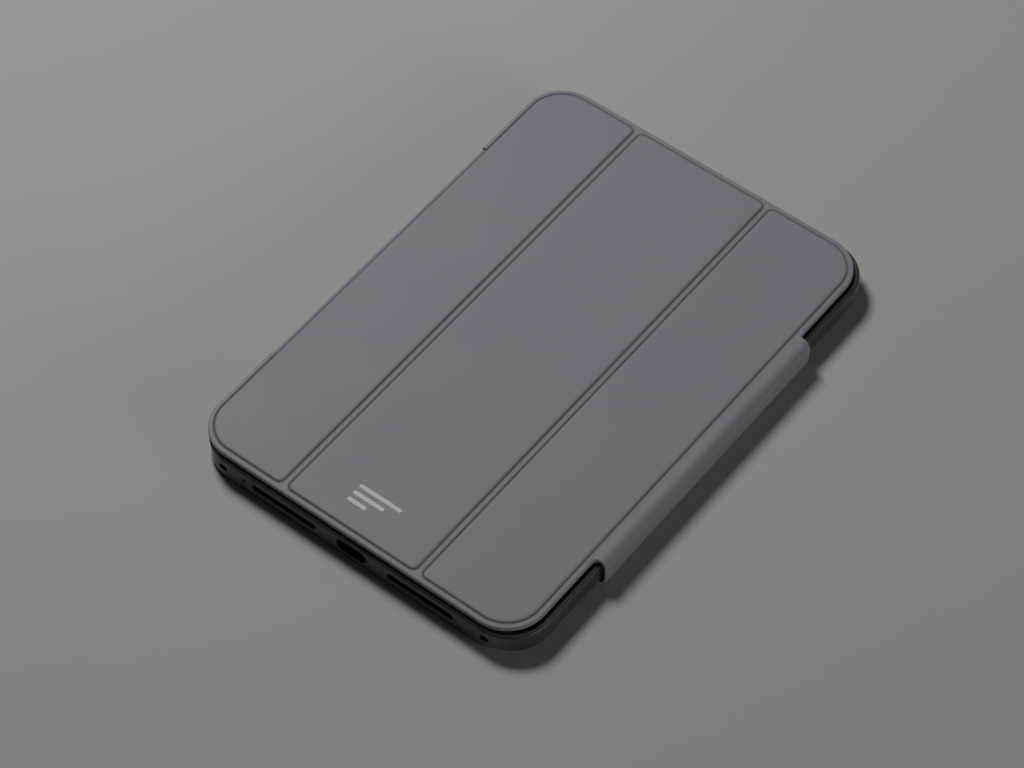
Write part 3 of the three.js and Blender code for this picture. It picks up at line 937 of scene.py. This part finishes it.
def bumperRing(insetX, insetY, radius, z):
    halfX, halfY = tubHalf.x - insetX, tubHalf.y - insetY
    points = roundedOutline(tubX - halfX, tubX + halfX, -halfY, halfY, radius, bumperShape["cornerSteps"])
    return [(x, y, z) for x, y in points]


# Round the wall's section: foot, outside, rim, lip, pocket, seat, and back under.
def bumperBody():
    shape, top = bumperShape, tubHigh.z
    radius, foot, rim, lead = shape["cornerRadius"], shape["footRound"], shape["rimRound"], shape["roundLead"]
    pocketX, pocketY = shape["pocketInset"]
    lip, lipBottom = shape["lipOverhang"], top - shape["lipHeight"]
    rings = []
    for a in quarterTurn(shape["footSteps"]):
        inset = foot * (1 - sin(a))
        rings.append(bumperRing(inset, inset, radius - inset, foot * (1 - cos(a))))
    rings.append(bumperRing(0, 0, radius, foot + lead))
    rings.append(bumperRing(0, 0, radius, top - rim - lead))
    for a in quarterTurn(shape["rimSteps"]):
        inset = rim * (1 - cos(a))
        rings.append(bumperRing(inset, inset, radius - inset, top - rim * (1 - sin(a))))
    lipX, lipY, lipRadius = pocketX + lip, pocketY + lip, shape["pocketRadius"] - lip
    for out, drop in shape["lipEdge"]:
        rings.append(bumperRing(lipX - out, lipY - out, lipRadius + out, top - drop))
    under, seat, seatRadius = shape["lipUnderEdge"], shape["seatInset"], radius - shape["seatInset"]
    rings += [
        bumperRing(lipX, lipY, lipRadius, lipBottom + under),
        bumperRing(lipX - under, lipY - under, lipRadius + under, lipBottom),
        bumperRing(pocketX, pocketY, shape["pocketRadius"], lipBottom),
        bumperRing(pocketX, pocketY, shape["pocketRadius"], shape["seatHeight"]),
        bumperRing(seat, seat, seatRadius, shape["seatHeight"]),
        bumperRing(seat, seat, seatRadius, 0),
    ]
    return lofted(rings, closed=True)


# A slot through an end wall, with its outer edge rounded over.
def slotCutter(x, width, height, side, flare):
    shape, wall = bumperShape, tubHalf.y
    loops = []
    depths = [(0, shape["slotDepth"]), (0, flare)]
    for a in quarterTurn(6, 1):
        depths.append((flare * (1 - cos(a)), flare * (1 - sin(a)) - shape["slotLap"]))
    depths.append((flare, -shape["slotReach"]))
    for grow, depth in depths:
        x0, x1 = tubX + x - width / 2 - grow, tubX + x + width / 2 + grow
        z0, z1 = tabletMiddle - height / 2 - grow, tabletMiddle + height / 2 + grow
        outline = roundedOutline(x0, x1, z0, z1, height / 2 + grow - cornerSlack, 7)
        loops.append([(px, side * (wall - depth), pz) for px, pz in outline])
    return lofted(loops)


# Room in the tub for the end of the skin and the plate over it.
def anchorRoom():
    half = spineHalf + bumperShape["recessGap"]
    top = boxOf("spine_anchor_plate")[1].z + bumperShape["plateGap"]
    left = anchorBox[0].x - bumperShape["anchorGap"]
    return blockShape(left, tubHigh.x + beyond, -half, half, -beyond, top)


# Room beside the wall for the hanging flap.
def flapRecess():
    gap = bumperShape["recessGap"]
    half, right = spineHalf + gap, flapInner + bumperShape["flapGap"]
    return blockShape(tubLow.x - beyond, right, -half, half, flapBottom - gap, tubHigh.z + beyond)


bumper = asPiece(bumperBody(), "bumper_moulding", bumperFinish, sharpAngles["moulding"])
flare, share = bumperShape["slotFlare"], bumperShape["slotFlareShare"]
cutters = [slotCutter(x, width, height, -1, min(flare, height * share)) for x, width, height in nearOpenings]
cutters += [slotCutter(x, width, height, 1, flare) for x, width, height in farOpenings]
for x, width, height in buttonOpenings.values():
    extra = 2 * bumperShape["buttonGap"]
    cutters.append(slotCutter(x, width + extra, height + extra, 1, bumperShape["buttonFlare"]))
cutters += [flapRecess(), anchorRoom()]
carve(bumper, cutters, sharpAngles["moulding"])
ride(bumper, "case", "bumper", "bumper_frame")
print("bumper made")

# Grip ribs stand in a row on the long wall beside the spine.
ribShape = {
    "pitch": 0.9,
    "count": 22,
    "width": 0.42,
    "proud": 0.1,
    "clear": 2.0,
    "bottom": 2.7,
    "top": 7.9,
}
ribSocketKinds = {
    "Count": "Int", "Start": "Vector", "Step": "Vector", "Bottom": "Vector", "Top": "Vector",
    "Radius": "Float", "Flatten": "Vector"}


# A row of bars along a line, each with ends that taper into the wall.
def ribTree(finish):
    tree = bpy.data.node_groups.new("gripRibs", "GeometryNodeTree")
    sockets = {}
    for label, kind in ribSocketKinds.items():
        made = tree.interface.new_socket(name=label, in_out="INPUT", socket_type="NodeSocket" + kind)
        sockets[label] = made.identifier
    tree.interface.new_socket(name="Geometry", in_out="OUTPUT", socket_type="NodeSocketGeometry")

    def node(kind, settings=None, inputs=None):
        made = tree.nodes.new(kind)
        for key, value in (settings or {}).items():
            setattr(made, key, value)
        for key, value in (inputs or {}).items():
            if isinstance(value, bpy.types.NodeSocket):
                tree.links.new(value, made.inputs[key])
            else:
                made.inputs[key].default_value = value
        return made.outputs[0] if made.outputs else made

    def maths(operation, *values):
        return node("ShaderNodeMath", {"operation": operation}, dict(enumerate(values)))

    given = tree.nodes.new("NodeGroupInput").outputs
    row = node("GeometryNodeMeshLine", {}, {
        "Count": given["Count"], "Start Location": given["Start"], "Offset": given["Step"]})
    line = node("GeometryNodeCurvePrimitiveLine", {}, {"Start": given["Bottom"], "End": given["Top"]})
    fine = node("GeometryNodeResampleCurve", {}, {"Curve": line, "Count": 11})
    share = tree.nodes.new("GeometryNodeSplineParameter").outputs["Factor"]
    fromMiddle = maths("ABSOLUTE", maths("MULTIPLY_ADD", share, 2.0, -1.0))
    taper = maths("MULTIPLY_ADD", maths("POWER", fromMiddle, 6.0), -0.85, 1.0)
    tapered = node("GeometryNodeSetCurveRadius", {}, {"Curve": fine, "Radius": taper})
    circle = node("GeometryNodeCurvePrimitiveCircle", {}, {"Resolution": 10, "Radius": given["Radius"]})
    bar = node("GeometryNodeCurveToMesh", {}, {"Curve": tapered, "Profile Curve": circle, "Fill Caps": True})
    flat = node("GeometryNodeTransform", {}, {"Geometry": bar, "Scale": given["Flatten"]})
    placed = node("GeometryNodeInstanceOnPoints", {}, {"Points": row, "Instance": flat})
    real = node("GeometryNodeRealizeInstances", {}, {"Geometry": placed})
    smooth = node("GeometryNodeSetShadeSmooth", {}, {"Geometry": real, "Shade Smooth": True})
    coloured = node("GeometryNodeSetMaterial", {}, {"Geometry": smooth, "Material": finish})
    node("NodeGroupOutput", {}, {0: coloured})
    return tree, sockets


ribs, ribSockets = ribTree(bumperFinish)
for name, side in (("wall_ribs_near", -1), ("wall_ribs_far", 1)):
    holder = bpy.data.objects.new(name, bpy.data.meshes.new(name))
    scene.collection.objects.link(holder)
    grown = holder.modifiers.new("ribs", "NODES")
    grown.node_group = ribs
    start = spineHalf + ribShape["clear"]
    values = {
        "Count": ribShape["count"],
        "Start": (tubHigh.x * mm, side * start * mm, 0),
        "Step": (0, side * ribShape["pitch"] * mm, 0),
        "Bottom": (0, 0, ribShape["bottom"] * mm),
        "Top": (0, 0, ribShape["top"] * mm),
        "Radius": ribShape["width"] / 2 * mm,
        "Flatten": (2 * ribShape["proud"] / ribShape["width"], 1, 1),
    }
    for label, value in values.items():
        grown[ribSockets[label]] = value
    bakeModifiers(holder)
    ride(holder, "case", "bumper")
print("ribs made")

# The back shell, the camera's surround and the accessory socket.
backShape = {
    "cornerRadius": 12.5,
    "cornerSteps": 22,
    "edgeRound": 0.25,
    "boreMouth": [(0.35, 0), (0.2, 0.08), (0.1, 0.25)],  # beyond the insert's radius, and up from the back
    "boreLow": -1,
    "boreHigh": 4,
    "ringRound": 0.3,
    "camera_surround": (2.7, 0.7, 72),  # width, chamfer of the bore, and steps round
    "socket_ring": (3.0, 0.35, 96),
    "discRound": 0.12,
    "discDish": [(1.2, 0.1), (1.0, 0)],  # in from the disc's edge, and up from its face
}
backLow, backHigh = boxOf("back_shell")


# Loops of a turned shape, from its profile of radius and height.
def turned(profile, centreX, centreY, steps=72):
    angles = [2 * pi * step / steps for step in range(steps)]
    return [
        [(centreX + radius * cos(a), centreY + radius * sin(a), z) for a in angles]
        for radius, z in profile]


# The middle of a round node, and its radius.
def roundNode(box):
    low, high = box
    return (low.x + high.x) / 2, (low.y + high.y) / 2, (high.x - low.x) / 2


def backPlate():
    loops = []
    edge = backShape["edgeRound"]
    for inset, rise in [(edge, 0), (edge * 0.3, edge * 0.3), (0, edge), (0, backHigh.z - backLow.z)]:
        outline = roundedOutline(
            backLow.x + inset, backHigh.x - inset, backLow.y + inset, backHigh.y - inset,
            backShape["cornerRadius"] - inset, backShape["cornerSteps"])
        loops.append([(x, y, backLow.z + rise) for x, y in outline])
    return lofted(loops)


# A bore round an insert, with a rounded mouth.
def boreCutter(centreX, centreY, radius):
    mouth = backShape["boreMouth"]
    profile = [(mouth[0][0], backShape["boreLow"])]
    profile += [(grow, backLow.z + rise) for grow, rise in mouth]
    profile.append((mouth[-1][0], backShape["boreHigh"]))
    return lofted(turned([(radius + grow, z) for grow, z in profile], centreX, centreY))


back = asPiece(backPlate(), "back_plate", hardBack, sharpAngles["ring"])
bores = [boreCutter(*roundNode(boxOf(node))) for node in ("camera_ring", "mount_ring")]
carve(back, bores + [anchorRoom()], sharpAngles["moulding"])
ride(back, "case", "hard_back", "back_shell")


# A ring with rounded edges at its underside: outside, underside and bore, then flat on top.
def ringShape(outer, width, box, chamfer):
    inner, low, high, edge = outer - width, box[0].z, box[1].z, backShape["ringRound"]
    profile = [(outer, high)]
    profile += [(outer - edge * (1 - cos(a)), low + edge * (1 - sin(a))) for a in quarterTurn(5)]
    profile += [(inner + chamfer, low), (inner + chamfer * 0.4, low + chamfer * 0.3)]
    profile += [(inner, low + chamfer), (inner, high)]
    return profile


for node, name in (("camera_ring", "camera_surround"), ("mount_ring", "socket_ring")):
    box = boxOf(node)
    x, y, radius = roundNode(box)
    width, chamfer, steps = backShape[name]
    work = lofted(turned(ringShape(radius, width, box, chamfer), x, y, steps), closed=True)
    ride(asPiece(work, name, hardBack, sharpAngles["ring"]), "case", "hard_back", node)
discBox, edge = boxOf("mount_plate"), backShape["discRound"]
discRadius, discLow = roundNode(discBox)[2], discBox[0].z
profile = [(discRadius - inset, discLow + rise) for inset, rise in backShape["discDish"]]
profile += [(discRadius - edge, discLow), (discRadius, discLow + edge), (discRadius, discBox[1].z)]
disc = asPiece(lofted(turned(profile, x, y, steps)), "socket_plate", turnedSteel, sharpAngles["moulding"])
ride(disc, "case", "steel", "mount_plate")
print("back made")

# The buttons stand in the far wall.
buttonShape = {"crown": 0.55}


def buttonCap(node, width, height):
    low, high = boxOf(node)
    crown = buttonShape["crown"]
    stations = [(0, low.y), (0, high.y - crown)]
    stations += [(crown * (1 - cos(a)), high.y - crown * (1 - sin(a))) for a in quarterTurn(6, 1)]
    middle = (low.x + high.x) / 2
    loops = []
    for inset, y in stations:
        outline = roundedOutline(
            middle - width / 2 + inset, middle + width / 2 - inset, low.z + inset, high.z - inset,
            height / 2 - inset - cornerSlack, 9)
        loops.append([(x, y, z) for x, z in outline])
    return lofted(loops)


for node, (x, width, height) in buttonOpenings.items():
    work = buttonCap(node, width, height)
    cap = asPiece(work, node.replace("button", "cap"), bumperFinish, sharpAngles["ring"])
    ride(cap, node, "bumper", node)
print("buttons made")

# A printed mark on the middle panel, of plain bars.
markShape = {
    "left": -11.3,
    "near": -88.7,
    "lengths": (17.4, 12.6, 7.8),
    "bar": 1.5,
    "gap": 1.65,
    "thick": 0.02,
    "sunk": 0.01,
}
for number, length in enumerate(reversed(markShape["lengths"])):
    thick = markShape["bar"]
    y0 = markShape["near"] + number * (thick + markShape["gap"])
    x0 = tubX + markShape["left"]
    outline = roundedOutline(x0, x0 + length, y0, y0 + thick, thick / 2 - cornerSlack, 6)
    heights = (plateauTop - markShape["sunk"], plateauTop + markShape["thick"])
    bar = lofted([[(x, y, z) for x, y in outline] for z in heights])
    piece = asPiece(bar, f"mark_bar_{number + 1}", markInk, sharpAngles["moulding"])
    ride(piece, "panel_2", "soft_touch")
print("mark made")

# Pieces inside the cover keep their shapes and get their finishes.
keptFinishes = [
    (microfibre, ["pocket_lining", "spine_lining", "flap_lining"]),
    (boardFinish, ["spine_anchor_plate", "spine_board", "panel_1_board", "panel_2_board", "panel_3_board"]),
    (brushedSteel, ["panel_3_keeper_strip"]),
    (nickel, ["panel_1_magnet_near", "panel_1_magnet_middle", "panel_1_magnet_far", "flap_magnet_bar"]),
]
for finish, nodes in keptFinishes:
    for node in nodes:
        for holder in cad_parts[node].material_slots:
            holder.material = finish
print("inner pieces finished")

# The floor, the lights and the camera.
studio = {
    "floor": shade(171, 169, 169),
    "floorPatch": 0.86,
    "floorHeight": -0.0002,
    "world": (0.5, 0.5, 0.51, 1),
    "worldStrength": 0.035,
}
# Place, size and power.
lights = {
    "keyLight": ((-0.66, 0.25, 0.95), 0.38, 9.6),
    "rimLight": ((1.7, 0.1, 0.35), 0.7, 8),
    "underLight": ((-0.7, -0.9, -1.1), 0.8, 9),  # shows the back when the floor is hidden
}


def makeFloor():
    bpy.ops.mesh.primitive_plane_add(size=12, location=(0, 0, studio["floorHeight"]))
    floor = bpy.context.object
    floor.name = "floor"
    finish = Finish("paleFloor", 0.2)
    patches = finish.noise(9, 4, 0.6)
    base = finish.blendColours(patches * 0.3, studio["floor"], darker(studio["floor"], studio["floorPatch"]))
    fine = finish.noise(700, 3, 0.6)
    roughness = 0.75 + fine * 0.1
    floor.data.materials.append(finish.done(base, roughness, finish.bump(fine, 0.1, 0.0001)))
    floor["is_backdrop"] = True


def addLight(name, place, size, power):
    light = bpy.data.lights.new(name, "AREA")
    light.shape, light.size, light.energy = "DISK", size, power
    holder = bpy.data.objects.new(name, light)
    holder.location = place
    holder.rotation_euler = (-Vector(place)).to_track_quat("-Z", "Y").to_euler()
    scene.collection.objects.link(holder)


makeFloor()
for name, (place, size, power) in lights.items():
    addLight(name, place, size, power)
world = bpy.data.worlds.new("studio")
world.use_nodes = True
background = world.node_tree.nodes["Background"].inputs
background["Color"].default_value = studio["world"]
background["Strength"].default_value = studio["worldStrength"]
scene.world = world
scene.view_settings.view_transform = "Standard"

viewpoint = {
    "place": (440.3, -592.3, 967.9),
    "azimuth": 37.387,
    "elevation": 52.933,
    "roll": 0.52,
    "lens": 126.56,
    "sensor": 36,
}
lens = bpy.data.cameras.new("camera")
lens.lens, lens.sensor_width, lens.sensor_fit = viewpoint["lens"], viewpoint["sensor"], "HORIZONTAL"
camera = bpy.data.objects.new("camera", lens)
turn = Matrix.Rotation(radians(viewpoint["azimuth"]), 4, "Z")
turn = turn @ Matrix.Rotation(radians(90 - viewpoint["elevation"]), 4, "X")
turn = turn @ Matrix.Rotation(radians(viewpoint["roll"]), 4, "Z")
camera.matrix_world = Matrix.Translation(Vector(viewpoint["place"]) * mm) @ turn
scene.collection.objects.link(camera)
scene.camera = camera
print("studio made")

low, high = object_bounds()
